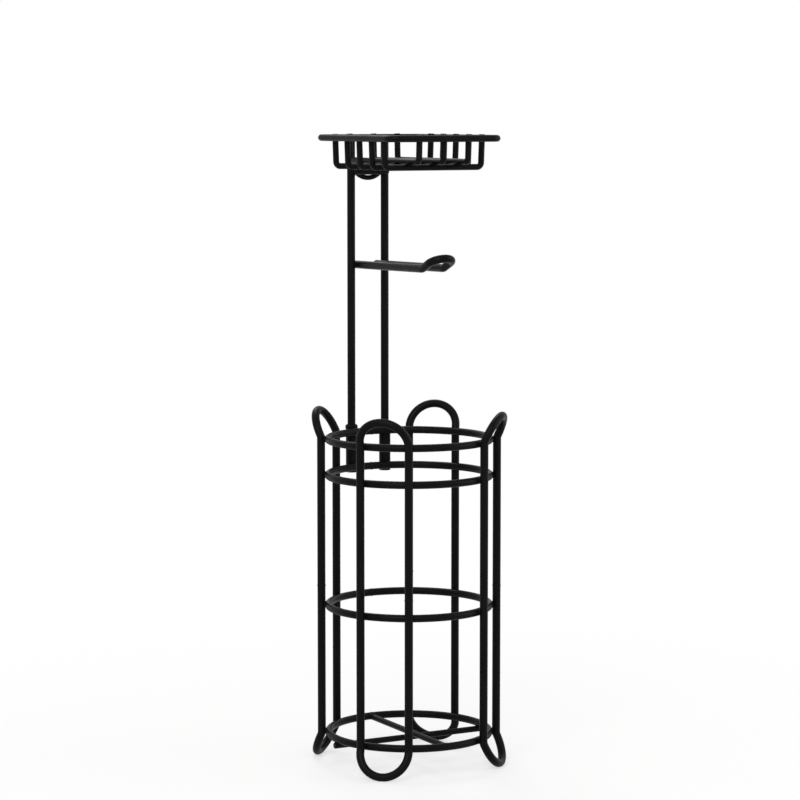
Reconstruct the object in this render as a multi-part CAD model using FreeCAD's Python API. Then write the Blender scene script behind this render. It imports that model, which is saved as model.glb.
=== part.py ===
import FreeCAD, Part
import math
import os

# Free-standing toilet roll holder of bent and welded steel wire.
# A round basket is made of four upright loops and four rings. Two rods plug into socket tubes at
# the back of the basket, and carry the roll arm and a wire tray.
# Millimetres, +Z up, -Y the front. The pieces are drawn round the axis of the basket, and then moved
# so that the origin is on the floor under the middle of the whole holder.
# Places and lengths of wire are those of its middle line, and a wire's own size is its diameter.

# Joining
weld_set = 0.6              # how far a welded wire is set into the one it crosses
socket_clearance = 0.08     # between a rod and the bore of its socket, on the radius
wire_end_round = 0.6        # rounding at the cut ends of the wires
overrun = 5.0               # how far a cutting solid runs past what it cuts

# Basket rings
ring_wire = 7.4
ring_radius = 79.6
base_to_middle_ring = 127.7
middle_to_upper_ring = 129.5
upper_to_top_ring = 35.6

# Upright loops
loop_wire = 8.0
loop_half_width = 24.3
loop_flare_angle = 24.5     # degrees that each rounded end leans outward
loop_flare_bend = 7.0       # radius of the bend where an end starts to lean
loop_flare_start = 2.0      # from the end ring to the corner of that bend
loop_end_straight = 1.8     # from that corner to the start of the rounded end
foot_flat = 0.3             # depth of the flat that each foot stands on
loop_names = ["rear_right", "rear_left", "front_left", "front_right"]   # anticlockwise from +X

# Basket floor
floor_wire = 6.0

# Socket tubes
socket_outer = 11.5
socket_above_ring = 1.4     # top of the tube above the top ring
socket_below_ring = 6.0     # foot of the tube below the upper ring
socket_edge_round = 0.5

# Rods and their stop collars
rod_wire = 8.0
rod_half_spacing = 19.0
rod_foot_rise = 2.0         # foot of the rod above the foot of its socket
rod_lead_in = 1.0           # chamfer at the foot of the rod
rod_end_round = 1.2         # rounding at the top of the rod
collar_outer = 12.5
collar_height = 5.6
collar_round = 2.0

# Roll arm
arm_wire = 8.0
arm_below_rim = 127.2       # at the rods
arm_slope = 1.0             # degrees that the arm rises from the rods
arm_length = 134.6          # from the rods to the corner where the tip turns up
arm_tip_angle = 24.0        # degrees that the tip rises
arm_tip_bend = 12.0
arm_tip_straight = 14.0     # from that corner to the start of the round tip

# Tray
rim_wire = 6.6
rim_half_width = 59.4
rim_depth = 155.2
rim_corner = 10.0
rim_height = 617.4
tray_wire = 6.0
tray_wire_bend = 4.5
tray_lean = 1.0             # how far the sides draw in between the rim and the floor
tray_floor_drop = 27.8      # from the rim down to the cross wires
tray_wire_rise = 0.5        # ends of the tray's wires above the top of the rim
cross_wire_count = 5
cross_wire_pitch = 25.4
long_wire_count = 3
long_wire_pitch = 26.8

# Wires that tie the rods together under the tray
brace_wire = 5.0
brace_drop = 12.5           # lowest part of the brace below the cross wires of the tray
spreader_wire = 7.0
spreader_drop = 5.9         # below the cross wires of the tray

# Places worked out from the sizes
flare = math.radians(loop_flare_angle)
loop_end_reach = loop_end_straight + loop_half_width
loop_end_rise = loop_end_reach * math.cos(flare)
loop_end_out = loop_end_reach * math.sin(flare)
loop_leg_radius = ring_radius + (ring_wire + loop_wire) / 2 - weld_set
loop_radius = math.sqrt(loop_leg_radius**2 - loop_half_width**2)
base_ring_height = loop_end_rise + loop_flare_start + loop_wire / 2 - foot_flat
middle_ring_height = base_ring_height + base_to_middle_ring
upper_ring_height = middle_ring_height + middle_to_upper_ring
top_ring_height = upper_ring_height + upper_to_top_ring
socket_radius = ring_radius + (ring_wire + socket_outer) / 2 - weld_set
socket_top = top_ring_height + socket_above_ring
socket_foot = upper_ring_height - socket_below_ring
rod_y = math.sqrt(socket_radius**2 - rod_half_spacing**2)
rim_back = rod_y - (rod_wire + rim_wire) / 2 + weld_set
rim_front = rim_back - rim_depth
rim_middle = (rim_back + rim_front) / 2
rim_top = rim_height + rim_wire / 2
arm_height = rim_height - arm_below_rim
tray_wire_end = rim_top + tray_wire_rise
cross_wire_height = rim_height - tray_floor_drop
long_wire_height = cross_wire_height + tray_wire - weld_set
spreader_y = rod_y - (rod_wire + spreader_wire) / 2 + weld_set
holder_front = -ring_radius - ring_wire / 2
holder_back = rod_y + max(socket_outer, collar_outer) / 2
holder_middle = (holder_front + holder_back) / 2

UP = FreeCAD.Vector(0, 0, 1)
ORIGIN = FreeCAD.Vector(0, 0, 0)


def straight_wire(start, end, diameter):
    """Return a straight round wire from start to end."""
    run = end - start
    return Part.makeCylinder(diameter / 2, run.Length, start, run)


def bent_wire(corners, bends, diameter):
    """Return one round wire through the corners, straight but for a bend at each inner corner."""
    runs = []
    start = corners[0]
    for before, corner, after, bend in zip(corners, corners[1:], corners[2:], bends):
        heading = (corner - before).normalize()
        leaving = (after - corner).normalize()
        turn = heading.getAngle(leaving)
        tangent = bend * math.tan(turn / 2)
        bend_start = corner - heading * tangent
        if not bend_start.isEqual(start, Part.Precision.confusion()):
            runs.append(straight_wire(start, bend_start, diameter))
        inward = (leaving - heading).normalize()
        centre = corner + inward * (bend / math.cos(turn / 2))
        section = Part.Face(Part.Wire(Part.makeCircle(diameter / 2, bend_start, heading)))
        runs.append(section.revolve(centre, heading.cross(leaving), math.degrees(turn)))
        start = corner + leaving * tangent
    if not corners[-1].isEqual(start, Part.Precision.confusion()):
        runs.append(straight_wire(start, corners[-1], diameter))
    return runs[0].multiFuse(runs[1:]).removeSplitter().Solids[0]


def rounded_ends(wire):
    """Return the wire with the edges of its cut ends rounded."""
    ends = [face for face in wire.Faces if isinstance(face.Surface, Part.Plane)]
    return wire.makeFillet(wire_end_round, [edge for face in ends for edge in face.Edges])


def cut_by(shape, others):
    """Return the shape with the room that the other pieces take cut out of it."""
    return shape.cut(others).removeSplitter().Solids[0]


def mirrored(points):
    """Return the points and, after them in reverse order, their mirror images across the YZ plane."""
    return points + [FreeCAD.Vector(-point.x, point.y, point.z) for point in reversed(points)]


def upright_loop(angle):
    """Return a closed upright loop, whose rounded ends lean out as a handle above and a foot below."""
    low = base_ring_height - loop_flare_start
    high = top_ring_height + loop_flare_start
    # The loop is drawn with its outer side towards -Y, one leg upward and the other one down.
    leg = [
        FreeCAD.Vector(loop_half_width, -loop_radius, (low + high) / 2),
        FreeCAD.Vector(loop_half_width, -loop_radius, high),
        FreeCAD.Vector(loop_half_width, -loop_radius - loop_end_out, high + loop_end_rise),
    ]
    upper_half = mirrored(leg)
    lower_half = [FreeCAD.Vector(point.x, point.y, low + high - point.z) for point in reversed(upper_half)]
    end_bends = [loop_flare_bend, loop_half_width, loop_half_width, loop_flare_bend]
    loop = bent_wire(upper_half, end_bends, loop_wire)
    loop = loop.fuse(bent_wire(lower_half, end_bends, loop_wire)).removeSplitter()
    reach = loop_radius + loop_end_out + loop_wire
    floor = Part.makeBox(2 * reach, 2 * reach, overrun, FreeCAD.Vector(-reach, -reach, -overrun))
    loop = cut_by(loop, [floor])
    loop.rotate(ORIGIN, UP, angle + 90)
    return loop


def basket_ring(height, welded):
    """Return a basket ring, seated on the pieces that are welded to its outside."""
    return cut_by(Part.makeTorus(ring_radius, ring_wire / 2, UP * height), welded)


def floor_wires(base_ring):
    """Return the cross wire under the base ring and the long wire that lies on it inside the ring."""
    outside = ring_radius + ring_wire / 2
    inside = ring_radius - ring_wire / 2 + weld_set
    cross_height = base_ring_height - (ring_wire + floor_wire) / 2 + weld_set
    long_height = cross_height + floor_wire - weld_set
    cross_end = FreeCAD.Vector(outside, 0, cross_height)
    long_end = FreeCAD.Vector(0, inside, long_height)
    cross = straight_wire(mirrored([cross_end])[1], cross_end, floor_wire)
    long = straight_wire(FreeCAD.Vector(0, -inside, long_height), long_end, floor_wire)
    cross = cut_by(rounded_ends(cross), [base_ring])
    return cross, cut_by(long, [base_ring, cross])


def socket_body(side):
    """Return the outside of a socket tube, as a solid bar."""
    foot = FreeCAD.Vector(side * rod_half_spacing, rod_y, socket_foot)
    bar = Part.makeCylinder(socket_outer / 2, socket_top - socket_foot, foot)
    return bar.makeFillet(socket_edge_round, [edge for edge in bar.Edges if edge.Closed])


def socket(side):
    """Return a socket tube that takes the foot of a rod."""
    start = FreeCAD.Vector(side * rod_half_spacing, rod_y, socket_foot - overrun)
    end = FreeCAD.Vector(side * rod_half_spacing, rod_y, socket_top + overrun)
    return socket_body(side).cut(straight_wire(start, end, rod_wire + 2 * socket_clearance))


def rod(side):
    """Return a rod from its socket up to the top of the tray rim."""
    foot = FreeCAD.Vector(side * rod_half_spacing, rod_y, socket_foot + rod_foot_rise)
    plain = Part.makeCylinder(rod_wire / 2, rim_top - foot.z, foot)
    rims = [edge for edge in plain.Edges if edge.Closed]
    low, high = sorted(rims, key=lambda edge: edge.CenterOfMass.z)
    return plain.makeChamfer(rod_lead_in, [low]).makeFillet(rod_end_round, [high])


def stop_collar(side):
    """Return the bead round a rod that rests on the top of the socket."""
    foot = FreeCAD.Vector(side * rod_half_spacing, rod_y, socket_top)
    bead = Part.makeCylinder(collar_outer / 2, collar_height, foot)
    rims = [edge for edge in bead.Edges if edge.Closed]
    bead = bead.makeFillet(collar_round, rims)
    return bead.cut(Part.makeCylinder(rod_wire / 2, collar_height + 2 * overrun, foot - UP * overrun))


def sloped_forward(angle):
    """Return the direction to the front that rises by an angle in degrees."""
    return FreeCAD.Vector(0, -math.cos(math.radians(angle)), math.sin(math.radians(angle)))


def roll_arm(rods):
    """Return the hairpin of the arm, its tip turned up and its ends welded between the rods."""
    half_width = rod_half_spacing - (rod_wire + arm_wire) / 2 + weld_set
    rods_middle = FreeCAD.Vector(half_width, rod_y, arm_height)
    forward = sloped_forward(arm_slope)
    corner = rods_middle + forward * arm_length
    tip = corner + sloped_forward(arm_tip_angle) * (arm_tip_straight + half_width)
    strand = [rods_middle - forward * (rod_wire / 2), corner, tip]
    bends = [arm_tip_bend, half_width, half_width, arm_tip_bend]
    return cut_by(rounded_ends(bent_wire(mirrored(strand), bends, arm_wire)), rods)


def tray_rim(rods):
    """Return the rounded rectangle of wire round the top of the tray, welded to the front of the rods."""
    right = [
        FreeCAD.Vector(0, rim_front, rim_height),
        FreeCAD.Vector(rim_half_width, rim_front, rim_height),
        FreeCAD.Vector(rim_half_width, rim_back, rim_height),
    ]
    return cut_by(bent_wire(mirrored(right), [rim_corner] * 4, rim_wire), rods)


def tray_wire_top(edge, away):
    """Return where the upright of a tray wire stands at its floor and at its top, beside the rim."""
    at_rim = edge - away * ((rim_wire + tray_wire) / 2 - weld_set)
    at_floor = at_rim - away * tray_lean
    at_top = at_rim + away * (tray_lean * (tray_wire_end - rim_height) / tray_floor_drop)
    return at_floor, at_top


def tray_cross_wire(place, rim):
    """Return a wire that runs down one side of the tray, across under its floor and up the other side."""
    at_floor, at_top = tray_wire_top(rim_half_width, 1)
    right = [
        FreeCAD.Vector(at_top, place, tray_wire_end),
        FreeCAD.Vector(at_floor, place, cross_wire_height),
    ]
    wire = bent_wire(mirrored(right), [tray_wire_bend, tray_wire_bend], tray_wire)
    return cut_by(rounded_ends(wire), [rim])


def tray_long_wire(place, rim, cross_wires):
    """Return a wire that runs down the front of the tray, back over the cross wires and up the rear."""
    front_floor, front_top = tray_wire_top(rim_front, -1)
    rear_floor, rear_top = tray_wire_top(rim_back, 1)
    corners = [
        FreeCAD.Vector(place, front_top, tray_wire_end),
        FreeCAD.Vector(place, front_floor, long_wire_height),
        FreeCAD.Vector(place, rear_floor, long_wire_height),
        FreeCAD.Vector(place, rear_top, tray_wire_end),
    ]
    wire = bent_wire(corners, [tray_wire_bend, tray_wire_bend], tray_wire)
    return cut_by(rounded_ends(wire), [rim] + cross_wires)


def tray_brace(rods):
    """Return the half round of wire between the rods, whose low middle shows below the tray."""
    low = cross_wire_height - brace_drop
    end = [
        FreeCAD.Vector(rod_half_spacing, rod_y, low + rod_half_spacing),
        FreeCAD.Vector(rod_half_spacing, rod_y, low),
    ]
    wire = bent_wire(mirrored(end), [rod_half_spacing, rod_half_spacing], brace_wire)
    return cut_by(wire, rods)


def rod_spreader(rods):
    """Return the straight wire across the front of the rods, under the tray."""
    end = FreeCAD.Vector(rod_half_spacing, spreader_y, cross_wire_height - spreader_drop)
    return cut_by(rounded_ends(straight_wire(mirrored([end])[1], end, spreader_wire)), rods)


def spaced(count, pitch):
    """Return the places of evenly spaced wires, as distances from the middle one."""
    return [pitch * (index - (count - 1) / 2) for index in range(count)]


def build():
    """Return every piece of the holder under its name."""
    pieces = {}
    uprights = []
    for index, name in enumerate(loop_names):
        uprights.append(upright_loop((index + 0.5) * 360 / len(loop_names)))
        pieces["upright_loop_" + name] = uprights[-1]
    tubes = []
    rods = []
    for name, side in {"left": -1, "right": 1}.items():
        tubes.append(socket_body(side))
        rods.append(rod(side))
        pieces["socket_" + name] = socket(side)
        pieces["rod_" + name] = rods[-1]
        pieces["stop_collar_" + name] = stop_collar(side)
    pieces["base_ring"] = basket_ring(base_ring_height, uprights)
    pieces["middle_ring"] = basket_ring(middle_ring_height, uprights)
    pieces["upper_ring"] = basket_ring(upper_ring_height, uprights + tubes)
    pieces["top_ring"] = basket_ring(top_ring_height, uprights + tubes)
    pieces["floor_cross_wire"], pieces["floor_long_wire"] = floor_wires(pieces["base_ring"])
    pieces["roll_arm"] = roll_arm(rods)
    pieces["rod_spreader"] = rod_spreader(rods)
    pieces["tray_brace"] = tray_brace(rods)
    pieces["tray_rim"] = tray_rim(rods)
    cross_wires = []
    for index, place in enumerate(spaced(cross_wire_count, cross_wire_pitch), 1):
        cross_wires.append(tray_cross_wire(rim_middle + place, pieces["tray_rim"]))
        pieces["tray_cross_wire_%d" % index] = cross_wires[-1]
    for index, place in enumerate(spaced(long_wire_count, long_wire_pitch), 1):
        pieces["tray_long_wire_%d" % index] = tray_long_wire(place, pieces["tray_rim"], cross_wires)
    return pieces


os.makedirs("parts", exist_ok=True)
for node, shape in build().items():
    if not shape.isValid() or len(shape.Solids) != 1:
        raise RuntimeError(node + " is not one valid solid")
    shape.translate(FreeCAD.Vector(0, -holder_middle, 0))
    shape.exportStep(os.path.join("parts", node + ".step"))
    print(node, round(shape.Volume, 1))
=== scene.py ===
"""Finishes the wire roll holder: black coat on every wire, weld beads and seams, and a pale stage."""
import math

import bmesh
import bpy
from mathutils import Matrix, Vector, noise
from mathutils.bvhtree import BVHTree


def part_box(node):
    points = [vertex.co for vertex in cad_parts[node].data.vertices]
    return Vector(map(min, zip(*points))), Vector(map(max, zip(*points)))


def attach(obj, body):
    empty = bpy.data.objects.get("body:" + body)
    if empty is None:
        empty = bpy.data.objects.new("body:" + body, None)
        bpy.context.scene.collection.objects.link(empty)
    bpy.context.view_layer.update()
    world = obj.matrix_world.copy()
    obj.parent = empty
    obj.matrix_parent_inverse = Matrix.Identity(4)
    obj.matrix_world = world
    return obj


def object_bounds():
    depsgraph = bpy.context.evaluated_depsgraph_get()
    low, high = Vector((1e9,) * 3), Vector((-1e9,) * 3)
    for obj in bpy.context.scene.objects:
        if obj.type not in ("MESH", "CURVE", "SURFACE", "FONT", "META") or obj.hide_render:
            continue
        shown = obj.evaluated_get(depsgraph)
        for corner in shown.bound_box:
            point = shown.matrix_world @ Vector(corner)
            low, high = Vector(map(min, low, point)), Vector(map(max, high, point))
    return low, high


bl_info = {
    "name": "Wire Roll Holder Finish",
    "version": (1, 0, 0),
    "blender": (4, 5, 0),
    "location": "View3D > Sidebar > Roll Holder",
    "description": "Coats and welds the wires of a roll holder and sets a plain stage for it",
    "category": "Object",
}

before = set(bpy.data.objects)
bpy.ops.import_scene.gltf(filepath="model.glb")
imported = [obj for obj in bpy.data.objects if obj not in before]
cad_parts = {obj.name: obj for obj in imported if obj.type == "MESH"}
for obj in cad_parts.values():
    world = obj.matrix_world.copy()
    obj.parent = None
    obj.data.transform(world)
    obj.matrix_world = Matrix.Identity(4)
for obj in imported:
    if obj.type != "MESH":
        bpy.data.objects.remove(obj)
cad_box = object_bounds()

MILLIMETRE = 0.001
ACROSS = Vector((1, 0, 0))
BEHIND = Vector((0, 1, 0))
UPWARD = Vector((0, 0, 1))

COLOUR = "NodeSocketColor"
VALUE = "NodeSocketFloat"

SIDES = ("left", "right")
LOOPS = [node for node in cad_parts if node.startswith("upright_loop_")]
RINGS = ["base_ring", "middle_ring", "upper_ring", "top_ring"]
SOCKETS = ["socket_" + side for side in SIDES]
RODS = ["rod_" + side for side in SIDES]
COLLARS = ["stop_collar_" + side for side in SIDES]
CROSS_WIRES = [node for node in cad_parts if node.startswith("tray_cross_wire_")]
LONG_WIRES = [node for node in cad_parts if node.startswith("tray_long_wire_")]


def middle_of(points):
    """Return the middle of the box round some points."""
    return Vector([(min(values) + max(values)) / 2 for values in zip(*points)])


basket_axis = middle_of(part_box("base_ring"))
socket_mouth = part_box(SOCKETS[0])[1].z
rod_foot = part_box(RODS[0])[0].z


class CoatSettings(bpy.types.PropertyGroup):
    """What the black coat looks like."""

    colour: bpy.props.FloatVectorProperty(
        name="Coat colour", description="Colour of the powder coat", subtype="COLOR", size=3,
        min=0, max=1, default=(0.003, 0.003, 0.0032))
    roughness: bpy.props.FloatProperty(
        name="Coat roughness", description="Middle roughness of the coat, from gloss to matt",
        subtype="FACTOR", min=0, max=1, default=0.4)
    gloss: bpy.props.FloatProperty(
        name="Coat gloss", description="How strongly the coat mirrors what stands before it",
        subtype="FACTOR", min=0, max=1, default=0.06)
    peel_size: bpy.props.FloatProperty(
        name="Peel size", description="Width of the small bumps of the coat", unit="LENGTH",
        min=0.0001, default=1.4 * MILLIMETRE)
    peel_depth: bpy.props.FloatProperty(
        name="Peel depth", description="Depth of the small bumps of the coat", unit="LENGTH",
        min=0, default=0.05 * MILLIMETRE)
    steel: bpy.props.FloatVectorProperty(
        name="Bare steel", description="Colour of the wire where the coat is rubbed through",
        subtype="COLOR", size=3, min=0, max=1, default=(0.19, 0.19, 0.2))


class WeldSettings(bpy.types.PropertyGroup):
    """Sizes of the weld beads and the seams of the closed wires."""

    bead: bpy.props.FloatProperty(
        name="Bead radius", description="Radius of the weld beads between crossing wires", unit="LENGTH",
        min=0.0002, default=1.4 * MILLIMETRE)
    collar_bead: bpy.props.FloatProperty(
        name="Collar bead radius", description="Radius of the beads where a collar meets its rod",
        unit="LENGTH", min=0.0002, default=0.5 * MILLIMETRE)
    spacing: bpy.props.FloatProperty(
        name="Bead point spacing", description="Distance between the points along a bead", unit="LENGTH",
        min=0.0002, default=0.55 * MILLIMETRE)
    unevenness: bpy.props.FloatProperty(
        name="Bead unevenness", description="Share by which a bead swells and thins", subtype="FACTOR",
        min=0, max=1, default=0.28)
    ripple: bpy.props.FloatProperty(
        name="Bead ripple", description="Length of one swelling of a bead", unit="LENGTH",
        min=0.0002, default=2.2 * MILLIMETRE)
    seam_rise: bpy.props.FloatProperty(
        name="Seam rise", description="How far a butt-welded seam stands out of its wire", unit="LENGTH",
        min=0, default=0.3 * MILLIMETRE)
    seam_round: bpy.props.FloatProperty(
        name="Seam round", description="Radius of the rounded ridge of a butt-welded seam", unit="LENGTH",
        min=0.0002, default=1.6 * MILLIMETRE)


class StageSettings(bpy.types.PropertyGroup):
    """Where the camera stands, and the floor and light."""

    azimuth: bpy.props.FloatProperty(
        name="Camera azimuth", description="Direction that the camera looks from, 0 being the front",
        subtype="ANGLE", default=math.radians(-28.41))
    pitch: bpy.props.FloatProperty(
        name="Camera pitch", description="Angle that the camera looks down by", subtype="ANGLE",
        default=math.radians(5.88))
    distance: bpy.props.FloatProperty(
        name="Camera distance", description="Level distance from the camera to the basket's axis",
        unit="LENGTH", min=0.1, default=2.749)
    sideways: bpy.props.FloatProperty(
        name="Camera sideways", description="How far the camera stands to the right of that line",
        unit="LENGTH", default=-8.9 * MILLIMETRE)
    height: bpy.props.FloatProperty(
        name="Camera height", description="Height of the camera above the floor", unit="LENGTH",
        default=0.64376)
    lens: bpy.props.FloatProperty(
        name="Camera lens", description="Focal length on a sensor 36 mm wide", subtype="DISTANCE_CAMERA",
        min=1, default=126.39)
    floor_colour: bpy.props.FloatVectorProperty(
        name="Floor colour", description="Colour of the floor", subtype="COLOR", size=3, min=0, max=1,
        default=(0.85, 0.85, 0.84))
    floor_white: bpy.props.FloatProperty(
        name="Floor white", description="Share of plain white that the camera sees on the floor near by",
        subtype="FACTOR", min=0, max=1, default=0.6)
    floor_fade: bpy.props.FloatProperty(
        name="Floor fade", description="Distance at which the floor is plain white", unit="LENGTH",
        min=0.1, default=0.9)
    world_light: bpy.props.FloatProperty(
        name="World light", description="Strength of the even light from all round", min=0, default=0.65)
    key_power: bpy.props.FloatProperty(
        name="Key light", description="Power of the large light before the holder on the left",
        unit="POWER", min=0, default=26)
    fill_power: bpy.props.FloatProperty(
        name="Fill light", description="Power of the light on the right", unit="POWER", min=0, default=10)
    top_power: bpy.props.FloatProperty(
        name="Top light", description="Power of the light above and behind", unit="POWER", min=0,
        default=14)


def new_group(name, inputs, outputs):
    """Return a shader node group with named sockets, and the nodes for its inputs and its outputs."""
    group = bpy.data.node_groups.new(name, "ShaderNodeTree")
    for label, kind in inputs.items():
        group.interface.new_socket(label, in_out="INPUT", socket_type=kind)
    for label, kind in outputs.items():
        group.interface.new_socket(label, in_out="OUTPUT", socket_type=kind)
    return group, group.nodes.new("NodeGroupInput"), group.nodes.new("NodeGroupOutput")


def feed(tree, value, socket):
    """Set a socket to a number or a colour, or link another node's output to it."""
    if isinstance(value, (int, float, tuple)):
        socket.default_value = value
    else:
        tree.links.new(value, socket)


def math_node(tree, operation, first, second):
    """Return the output of a maths node between two values, each a number or another node's output."""
    node = tree.nodes.new("ShaderNodeMath")
    node.operation = operation
    feed(tree, first, node.inputs[0])
    feed(tree, second, node.inputs[1])
    return node.outputs["Value"]


def stepped(tree, value, low, high):
    """Return a value that rises smoothly from 0 at low to 1 at high, or falls where high is the lower one."""
    node = tree.nodes.new("ShaderNodeMapRange")
    node.interpolation_type = "SMOOTHSTEP"
    feed(tree, value, node.inputs["Value"])
    feed(tree, low, node.inputs["From Min"])
    feed(tree, high, node.inputs["From Max"])
    return node.outputs["Result"]


def noise_value(tree, coordinates, scale, detail):
    """Return the value of a noise texture on the given coordinates."""
    node = tree.nodes.new("ShaderNodeTexNoise")
    feed(tree, coordinates, node.inputs["Vector"])
    feed(tree, scale, node.inputs["Scale"])
    feed(tree, detail, node.inputs["Detail"])
    return node.outputs["Fac"]


def mixed_colour(tree, factor, first, second, blend="MIX"):
    """Return the output of a mix of two colours, each a plain colour or another node's output."""
    node = tree.nodes.new("ShaderNodeMix")
    node.data_type = "RGBA"
    node.blend_type = blend
    feed(tree, factor, node.inputs["Factor"])
    feed(tree, first, node.inputs["A"])
    feed(tree, second, node.inputs["B"])
    return node.outputs["Result"]


def coat_skin_group():
    """Return the node group of the coat itself: fine peel, soft mottle and uneven gloss."""
    name = "Coat Skin"
    mottle_scale = 38
    mottle_tones = {"From Min": 0.3, "From Max": 0.7, "To Min": 0.75, "To Max": 1.3}
    mottle_gloss = 0.35
    peel_gloss = 0.12
    noise_middle = 0.5
    dust_scale = 900
    dust_start = 0.74
    dust_full = 0.8
    dust_strength = 0.25
    dust_colour = (0.03, 0.03, 0.029, 1)
    if name in bpy.data.node_groups:
        return bpy.data.node_groups[name]
    group, inside, outside = new_group(
        name,
        {"Coat Colour": COLOUR, "Roughness": VALUE, "Peel Size": VALUE},
        {"Colour": COLOUR, "Roughness": VALUE, "Height": VALUE},
    )
    place = group.nodes.new("ShaderNodeTexCoord").outputs["Object"]

    peel_scale = math_node(group, "DIVIDE", 1, inside.outputs["Peel Size"])
    peel = noise_value(group, place, peel_scale, detail=1.5)
    mottle = noise_value(group, place, mottle_scale, detail=3)
    dust = noise_value(group, place, dust_scale, detail=1)

    tone = group.nodes.new("ShaderNodeMapRange")
    group.links.new(mottle, tone.inputs["Value"])
    for socket, value in mottle_tones.items():
        tone.inputs[socket].default_value = value
    shade = mixed_colour(group, 1, inside.outputs["Coat Colour"], tone.outputs["Result"], "MULTIPLY")
    specks = math_node(group, "MULTIPLY", stepped(group, dust, dust_start, dust_full), dust_strength)
    group.links.new(mixed_colour(group, specks, shade, dust_colour), outside.inputs["Colour"])

    swing = math_node(group, "MULTIPLY", math_node(group, "SUBTRACT", mottle, noise_middle), mottle_gloss)
    fine = math_node(group, "MULTIPLY", math_node(group, "SUBTRACT", peel, noise_middle), peel_gloss)
    rough = math_node(group, "ADD", inside.outputs["Roughness"], math_node(group, "ADD", swing, fine))
    group.links.new(rough, outside.inputs["Roughness"])
    group.links.new(peel, outside.inputs["Height"])
    return group


def rubbed_group():
    """Return the node group of a band of height where the coat is rubbed through in streaks."""
    name = "Rubbed Band"
    streak_scale = 1100
    streak_stretch = (1, 1, 0.12)
    unworn_start = 0.86
    worn_drop = 0.5
    streak_edge = 0.07
    if name in bpy.data.node_groups:
        return bpy.data.node_groups[name]
    group, inside, outside = new_group(
        name,
        {"Full Height": VALUE, "Clear Height": VALUE, "Amount": VALUE},
        {"Mask": VALUE},
    )
    place = group.nodes.new("ShaderNodeTexCoord").outputs["Object"]
    height = group.nodes.new("ShaderNodeSeparateXYZ")
    group.links.new(place, height.inputs["Vector"])
    stretch = group.nodes.new("ShaderNodeMapping")
    stretch.inputs["Scale"].default_value = streak_stretch
    group.links.new(place, stretch.inputs["Vector"])
    streaks = noise_value(group, stretch.outputs["Vector"], streak_scale, detail=3)

    band = stepped(group, height.outputs["Z"], inside.outputs["Clear Height"], inside.outputs["Full Height"])
    level = math_node(group, "MULTIPLY", band, inside.outputs["Amount"])
    start = math_node(group, "SUBTRACT", unworn_start, math_node(group, "MULTIPLY", level, worn_drop))
    end = math_node(group, "ADD", start, streak_edge)
    group.links.new(stepped(group, streaks, start, end), outside.inputs["Mask"])
    return group


def black_coat(name, roughness_change=0.0, peel=1.0, rubbed=None):
    """Return a coat material. rubbed, if given, is the height of full wear, of no wear, and the amount."""
    peel_strength = 0.5
    rubbed_polish = 0.12
    coat = bpy.context.scene.roll_holder_coat
    material = bpy.data.materials.new(name)
    material.use_nodes = True
    tree = material.node_tree
    shader = tree.nodes["Principled BSDF"]
    shader.inputs["Specular IOR Level"].default_value = coat.gloss

    skin = tree.nodes.new("ShaderNodeGroup")
    skin.node_tree = coat_skin_group()
    skin.inputs["Coat Colour"].default_value = (*coat.colour, 1)
    skin.inputs["Roughness"].default_value = coat.roughness + roughness_change
    skin.inputs["Peel Size"].default_value = coat.peel_size * peel
    bump = tree.nodes.new("ShaderNodeBump")
    bump.inputs["Strength"].default_value = peel_strength
    bump.inputs["Distance"].default_value = coat.peel_depth * peel
    tree.links.new(skin.outputs["Height"], bump.inputs["Height"])
    tree.links.new(bump.outputs["Normal"], shader.inputs["Normal"])
    if rubbed is None:
        tree.links.new(skin.outputs["Colour"], shader.inputs["Base Color"])
        tree.links.new(skin.outputs["Roughness"], shader.inputs["Roughness"])
        return material

    wear = tree.nodes.new("ShaderNodeGroup")
    wear.node_tree = rubbed_group()
    for socket, value in zip(("Full Height", "Clear Height", "Amount"), rubbed):
        wear.inputs[socket].default_value = value
    mask = wear.outputs["Mask"]
    worn = mixed_colour(tree, mask, skin.outputs["Colour"], (*coat.steel, 1))
    tree.links.new(worn, shader.inputs["Base Color"])
    tree.links.new(mask, shader.inputs["Metallic"])
    polish = math_node(tree, "MULTIPLY", mask, rubbed_polish)
    smoother = math_node(tree, "SUBTRACT", skin.outputs["Roughness"], polish)
    tree.links.new(smoother, shader.inputs["Roughness"])
    return material


def coat_nodes(nodes, material):
    """Give the CAD nodes a material."""
    for name in nodes:
        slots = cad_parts[name].material_slots
        if not slots:
            raise RuntimeError(name + " has no material slot to coat")
        for slot in slots:
            slot.material = material


def merged_copy(node):
    """Return a bmesh of a CAD node with its loose triangles joined up."""
    join_distance = 0.001 * MILLIMETRE
    solid = bmesh.new()
    solid.from_mesh(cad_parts[node].data)
    bmesh.ops.remove_doubles(solid, verts=solid.verts, dist=join_distance)
    return solid


def settled(faces, seats):
    """Return the seat faces with lone gaps filled and lone strays left out."""
    kept = set()
    for face in faces:
        beside = sum(near in seats for edge in face.edges for near in edge.link_faces if near is not face)
        enough = 1 if face in seats else 2
        if beside >= enough:
            kept.add(face)
    return kept


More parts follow.
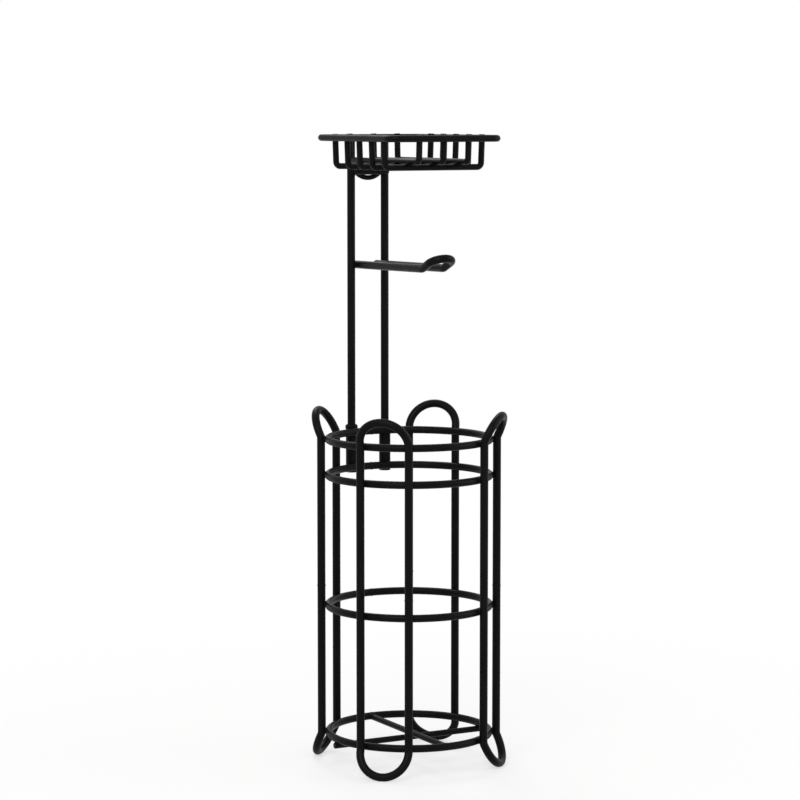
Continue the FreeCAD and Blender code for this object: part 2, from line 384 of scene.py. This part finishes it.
def seat_outline(node, others, spacing):
    """Return a bmesh of only the lines round the seats where a node is welded to the others."""
    seat_gap = 0.12 * MILLIMETRE
    face_to_face = -0.9
    outline = merged_copy(node)
    seats = set()
    for other in others:
        solid = merged_copy(other)
        surface = BVHTree.FromBMesh(solid)
        solid.free()
        for face in outline.faces:
            place, normal, _, _ = surface.find_nearest(face.calc_center_median(), seat_gap)
            if place is not None and face.normal.dot(normal) < face_to_face:
                seats.add(face)
    seats = settled(outline.faces, settled(outline.faces, seats))
    border = {edge for face in seats for edge in face.edges if not seats.issuperset(edge.link_faces)}
    inner = [edge for edge in outline.edges if edge not in border]
    bmesh.ops.delete(outline, geom=inner, context="EDGES_FACES")
    bmesh.ops.delete(outline, geom=[vert for vert in outline.verts if not vert.link_edges], context="VERTS")
    bmesh.ops.remove_doubles(outline, verts=outline.verts, dist=spacing)
    stray = [vert for vert in outline.verts if len(vert.link_edges) != 2]
    bmesh.ops.delete(outline, geom=stray, context="VERTS")
    bmesh.ops.smooth_vert(outline, verts=outline.verts, factor=0.5, use_axis_x=True, use_axis_y=True,
                          use_axis_z=True)
    if not outline.edges:
        raise RuntimeError("no weld seat was found on " + node)
    return outline


def weld_beads(name, body, seats, radius):
    """Make one piece of the beads round every seat, each seat being a node and those it is welded to."""
    fewest_points = 10
    bead_rounding = 2
    weld = bpy.context.scene.roll_holder_weld
    lines = bpy.data.meshes.new(name)
    collected = bmesh.new()
    for node, others in seats:
        outline = seat_outline(node, others, weld.spacing)
        outline.to_mesh(lines)
        collected.from_mesh(lines)
        outline.free()
    collected.to_mesh(lines)
    collected.free()
    path = bpy.data.objects.new(name + "_path", lines)
    bpy.context.collection.objects.link(path)
    bpy.ops.object.select_all(action="DESELECT")
    path.select_set(True)
    bpy.context.view_layer.objects.active = path
    bpy.ops.object.convert(target="CURVE")
    path.data.dimensions = "3D"
    path.data.bevel_depth = radius
    path.data.bevel_resolution = bead_rounding
    for spline in list(path.data.splines):
        if len(spline.points) < fewest_points:
            path.data.splines.remove(spline)
            continue
        spline.use_cyclic_u = True
        for point in spline.points:
            swell = noise.noise(Vector(point.co[:3]) / weld.ripple)
            point.radius = 1 + weld.unevenness * swell
    bpy.context.view_layer.update()
    beads = bpy.data.meshes.new_from_object(path.evaluated_get(bpy.context.evaluated_depsgraph_get()))
    bpy.data.objects.remove(path)
    new_piece(name, beads, body)


def weld_material():
    """Return the coat material of the welds, which is a little rougher and finer in its peel."""
    name = "black_coat_welds"
    return bpy.data.materials.get(name) or black_coat(name, roughness_change=0.06, peel=0.8)


def new_piece(name, mesh, body):
    """Make an object of a finished weld mesh that rides on a body of the holder."""
    mesh.name = name
    mesh.materials.clear()
    mesh.materials.append(weld_material())
    for polygon in mesh.polygons:
        polygon.use_smooth = True
    piece = bpy.data.objects.new(name, mesh)
    bpy.context.collection.objects.link(piece)
    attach(piece, body)


def wire_section(node, level, across, towards):
    """Return the middle and radius of the wire where a plane cuts a node, on the side of one direction."""
    solid = merged_copy(node)
    geometry = solid.verts[:] + solid.edges[:] + solid.faces[:]
    cut = bmesh.ops.bisect_plane(solid, geom=geometry, plane_co=level, plane_no=across)
    points = [item.co.copy() for item in cut["geom_cut"] if isinstance(item, bmesh.types.BMVert)]
    solid.free()
    if not points:
        raise RuntimeError("the plane misses the wire of " + node)
    side = [point for point in points if (point - middle_of(points)).dot(towards) > 0]
    middle = middle_of(side)
    return middle, max((point - middle).length for point in side)


def butt_seams(name, body, places):
    """Make one piece of the seams where closed wires are joined end to end."""
    ridge_segments = 16
    turn_steps = 40
    weld = bpy.context.scene.roll_holder_weld
    seams = bmesh.new()
    for node, level, across, towards in places:
        middle, radius = wire_section(node, level, across, towards)
        outward = across.orthogonal().normalized()
        start = middle + outward * (radius + weld.seam_rise - weld.seam_round)
        turn = across.cross(outward).to_track_quat("Z", "Y").to_matrix().to_4x4()
        ridge = bmesh.ops.create_circle(seams, segments=ridge_segments, radius=weld.seam_round,
                                        matrix=Matrix.Translation(start) @ turn)["verts"]
        edges = list({edge for vert in ridge for edge in vert.link_edges})
        bmesh.ops.spin(seams, geom=ridge + edges, cent=middle, axis=across, angle=math.tau,
                       steps=turn_steps, use_merge=True)
    bmesh.ops.recalc_face_normals(seams, faces=seams.faces)
    mesh = bpy.data.meshes.new(name)
    seams.to_mesh(mesh)
    seams.free()
    new_piece(name, mesh, body)


class ROLL_HOLDER_OT_coat_wires(bpy.types.Operator):
    """Coat every wire, with the places where the holder is rubbed in use"""

    bl_idname = "roll_holder.coat_wires"
    bl_label = "Coat the Wires"

    def execute(self, context):
        # Each wear is the height of full wear, the height of no wear, and the amount.
        foot_wear = (0, 2.5 * MILLIMETRE, 0.8)
        socket_wear = (socket_mouth, socket_mouth - 3 * MILLIMETRE, 0.7)
        rod_wear = (rod_foot, socket_mouth, 0.75)
        floor = ["floor_cross_wire", "floor_long_wire"]
        tray = CROSS_WIRES + LONG_WIRES + ["tray_rim", "tray_brace", "rod_spreader"]
        coat_nodes(LOOPS, black_coat("black_coat_loops", rubbed=foot_wear))
        coat_nodes(RINGS + floor, black_coat("black_coat_rings"))
        coat_nodes(SOCKETS, black_coat("black_coat_sockets", rubbed=socket_wear))
        coat_nodes(RODS, black_coat("black_coat_rods", rubbed=rod_wear))
        coat_nodes(COLLARS, black_coat("black_coat_collars", roughness_change=0.04))
        coat_nodes(["roll_arm"], black_coat("black_coat_arm", roughness_change=-0.1))
        coat_nodes(tray, black_coat("black_coat_tray", roughness_change=-0.03))
        return {"FINISHED"}


class ROLL_HOLDER_OT_weld_basket(bpy.types.Operator):
    """Weld the rings of the basket to the upright loops and the sockets"""

    bl_idname = "roll_holder.weld_basket"
    bl_label = "Weld the Basket"

    def execute(self, context):
        bead = context.scene.roll_holder_weld.bead
        weld_beads("basket_welds", "basket", [(ring, LOOPS) for ring in RINGS], bead)
        weld_beads("socket_welds", "basket", [(ring, SOCKETS) for ring in ("upper_ring", "top_ring")], bead)
        return {"FINISHED"}


class ROLL_HOLDER_OT_weld_floor(bpy.types.Operator):
    """Weld the floor wires to the base ring and to each other"""

    bl_idname = "roll_holder.weld_floor"
    bl_label = "Weld the Floor"

    def execute(self, context):
        seats = [("floor_cross_wire", ["base_ring"]), ("floor_long_wire", ["base_ring", "floor_cross_wire"])]
        weld_beads("floor_welds", "basket", seats, context.scene.roll_holder_weld.bead)
        return {"FINISHED"}


class ROLL_HOLDER_OT_weld_stand(bpy.types.Operator):
    """Weld the arm, the ties, the tray's rim and the collars to the rods"""

    bl_idname = "roll_holder.weld_stand"
    bl_label = "Weld the Stand"

    def execute(self, context):
        weld = context.scene.roll_holder_weld
        seats = [(node, RODS) for node in ("roll_arm", "rod_spreader", "tray_brace", "tray_rim")]
        weld_beads("stand_welds", "stand", seats, weld.bead)
        seats = [(collar, [rod]) for collar, rod in zip(COLLARS, RODS)]
        weld_beads("collar_welds", "stand", seats, weld.collar_bead)
        return {"FINISHED"}


class ROLL_HOLDER_OT_weld_tray(bpy.types.Operator):
    """Weld the wires of the tray to its rim and to each other"""

    bl_idname = "roll_holder.weld_tray"
    bl_label = "Weld the Tray"

    def execute(self, context):
        seats = [(wire, ["tray_rim"]) for wire in CROSS_WIRES]
        seats += [(wire, ["tray_rim"] + CROSS_WIRES) for wire in LONG_WIRES]
        weld_beads("tray_welds", "stand", seats, context.scene.roll_holder_weld.bead)
        return {"FINISHED"}


class ROLL_HOLDER_OT_join_closed_wires(bpy.types.Operator):
    """Join the ends of each ring, loop and rim with a butt-welded seam"""

    bl_idname = "roll_holder.join_closed_wires"
    bl_label = "Join the Closed Wires"

    def execute(self, context):
        places = [(ring, basket_axis, ACROSS, BEHIND) for ring in RINGS]
        for loop in LOOPS:
            middle = middle_of(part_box(loop))
            places.append((loop, middle, UPWARD, UPWARD.cross(middle - basket_axis)))
        butt_seams("basket_seams", "basket", places)
        butt_seams("rim_seam", "stand", [("tray_rim", middle_of(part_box("tray_rim")), ACROSS, BEHIND)])
        return {"FINISHED"}


def white_share(tree, share):
    """Return the share of white for rays that show the background: seen, mirrored or let through."""
    rays = tree.nodes.new("ShaderNodeLightPath").outputs
    shown = math_node(tree, "MAXIMUM", rays["Is Camera Ray"], rays["Is Glossy Ray"])
    shown = math_node(tree, "MAXIMUM", shown, rays["Is Transmission Ray"])
    return math_node(tree, "MULTIPLY", shown, share)


def floor_material():
    """Return the pale material of the floor, which the camera sees nearly white, with the shadow kept."""
    fade_start = 0.2
    stage = bpy.context.scene.roll_holder_stage
    material = bpy.data.materials.new("pale_floor")
    material.use_nodes = True
    tree = material.node_tree
    shader = tree.nodes["Principled BSDF"]
    shader.inputs["Base Color"].default_value = (*stage.floor_colour, 1)
    shader.inputs["Roughness"].default_value = 0.9
    shader.inputs["Specular IOR Level"].default_value = 0.1
    white = tree.nodes.new("ShaderNodeEmission")
    place = tree.nodes.new("ShaderNodeTexCoord").outputs["Object"]
    away = tree.nodes.new("ShaderNodeVectorMath")
    away.operation = "LENGTH"
    tree.links.new(place, away.inputs[0])
    far = stepped(tree, away.outputs["Value"], fade_start * stage.floor_fade, stage.floor_fade)
    rest = math_node(tree, "MULTIPLY", far, 1 - stage.floor_white)
    seen = white_share(tree, math_node(tree, "ADD", rest, stage.floor_white))
    mixed = tree.nodes.new("ShaderNodeMixShader")
    tree.links.new(seen, mixed.inputs["Fac"])
    tree.links.new(shader.outputs["BSDF"], mixed.inputs[1])
    tree.links.new(white.outputs["Emission"], mixed.inputs[2])
    tree.links.new(mixed.outputs["Shader"], tree.nodes["Material Output"].inputs["Surface"])
    return material


def lay_floor(context):
    """Lay a floor that runs out past everything the camera sees."""
    half_size = 40
    ground = bmesh.new()
    bmesh.ops.create_grid(ground, x_segments=1, y_segments=1, size=half_size)
    mesh = bpy.data.meshes.new("floor")
    ground.to_mesh(mesh)
    ground.free()
    mesh.materials.append(floor_material())
    floor = bpy.data.objects.new("floor", mesh)
    floor.location.z = cad_box[0].z
    context.collection.objects.link(floor)


def set_world(context, light):
    """Set an even world light, which shows as plain white where it is seen."""
    world = bpy.data.worlds.new("studio")
    world.use_nodes = True
    tree = world.node_tree
    sky = tree.nodes["Background"]
    sky.inputs["Color"].default_value = (1, 1, 1, 1)
    shown = white_share(tree, 1 - light)
    tree.links.new(math_node(tree, "ADD", shown, light), sky.inputs["Strength"])
    context.scene.world = world


def area_light(name, place, size, power):
    """Hang a square soft light at a place, turned to the middle of the holder."""
    lamp = bpy.data.lights.new(name, "AREA")
    lamp.shape = "SQUARE"
    lamp.size = size
    lamp.energy = power
    light = bpy.data.objects.new(name, lamp)
    light.location = place
    light.rotation_euler = (middle_of(cad_box) - light.location).to_track_quat("-Z", "Y").to_euler()
    bpy.context.collection.objects.link(light)


def place_camera(context, stage):
    """Place the camera by its direction and distance from the axis of the basket."""
    ahead = Vector((-math.sin(stage.azimuth), math.cos(stage.azimuth), 0))
    right = Vector((ahead.y, -ahead.x, 0))
    lens = bpy.data.cameras.new("camera")
    lens.lens = stage.lens
    lens.sensor_width = 36
    lens.clip_end = 100
    camera = bpy.data.objects.new("camera", lens)
    camera.location = basket_axis - ahead * stage.distance + right * stage.sideways
    camera.location.z = stage.height
    look = ahead * math.cos(stage.pitch) - UPWARD * math.sin(stage.pitch)
    camera.rotation_euler = look.to_track_quat("-Z", "Y").to_euler()
    context.collection.objects.link(camera)
    context.scene.camera = camera


class ROLL_HOLDER_OT_set_stage(bpy.types.Operator):
    """Lay the floor, hang the lights and place the camera"""

    bl_idname = "roll_holder.set_stage"
    bl_label = "Set the Stage"

    def execute(self, context):
        stage = context.scene.roll_holder_stage
        lay_floor(context)
        set_world(context, stage.world_light)
        area_light("key", place=(-1.4, -1.5, 1.7), size=1.2, power=stage.key_power)
        area_light("fill", place=(1.7, -1.0, 0.9), size=1.2, power=stage.fill_power)
        area_light("top", place=(0.3, 1.3, 1.9), size=1.0, power=stage.top_power)
        place_camera(context, stage)
        context.scene.view_settings.view_transform = "Standard"
        return {"FINISHED"}


OPERATORS = (
    ROLL_HOLDER_OT_coat_wires,
    ROLL_HOLDER_OT_weld_basket,
    ROLL_HOLDER_OT_weld_floor,
    ROLL_HOLDER_OT_weld_stand,
    ROLL_HOLDER_OT_weld_tray,
    ROLL_HOLDER_OT_join_closed_wires,
    ROLL_HOLDER_OT_set_stage,
)
SETTINGS = {
    "roll_holder_coat": CoatSettings,
    "roll_holder_weld": WeldSettings,
    "roll_holder_stage": StageSettings,
}


class ROLL_HOLDER_PT_finish(bpy.types.Panel):
    """The finish of the roll holder, step by step"""

    bl_idname = "ROLL_HOLDER_PT_finish"
    bl_label = "Roll Holder Finish"
    bl_space_type = "VIEW_3D"
    bl_region_type = "UI"
    bl_category = "Roll Holder"

    def draw(self, context):
        for name, settings in SETTINGS.items():
            box = self.layout.box()
            for field in settings.__annotations__:
                box.prop(getattr(context.scene, name), field)
        for operator in OPERATORS:
            self.layout.operator(operator.bl_idname)


def register():
    """Register the settings, the operators and the panel."""
    for name, settings in SETTINGS.items():
        bpy.utils.register_class(settings)
        setattr(bpy.types.Scene, name, bpy.props.PointerProperty(type=settings))
    for entry in (*OPERATORS, ROLL_HOLDER_PT_finish):
        bpy.utils.register_class(entry)


def unregister():
    """Take the panel, the operators and the settings away again."""
    for entry in (ROLL_HOLDER_PT_finish, *reversed(OPERATORS)):
        bpy.utils.unregister_class(entry)
    for name, settings in SETTINGS.items():
        delattr(bpy.types.Scene, name)
        bpy.utils.unregister_class(settings)


def main():
    """Run every step in order."""
    register()
    bpy.ops.roll_holder.coat_wires()
    bpy.ops.roll_holder.weld_basket()
    bpy.ops.roll_holder.weld_floor()
    bpy.ops.roll_holder.weld_stand()
    bpy.ops.roll_holder.weld_tray()
    bpy.ops.roll_holder.join_closed_wires()
    bpy.ops.roll_holder.set_stage()


if __name__ == "__main__":
    main()
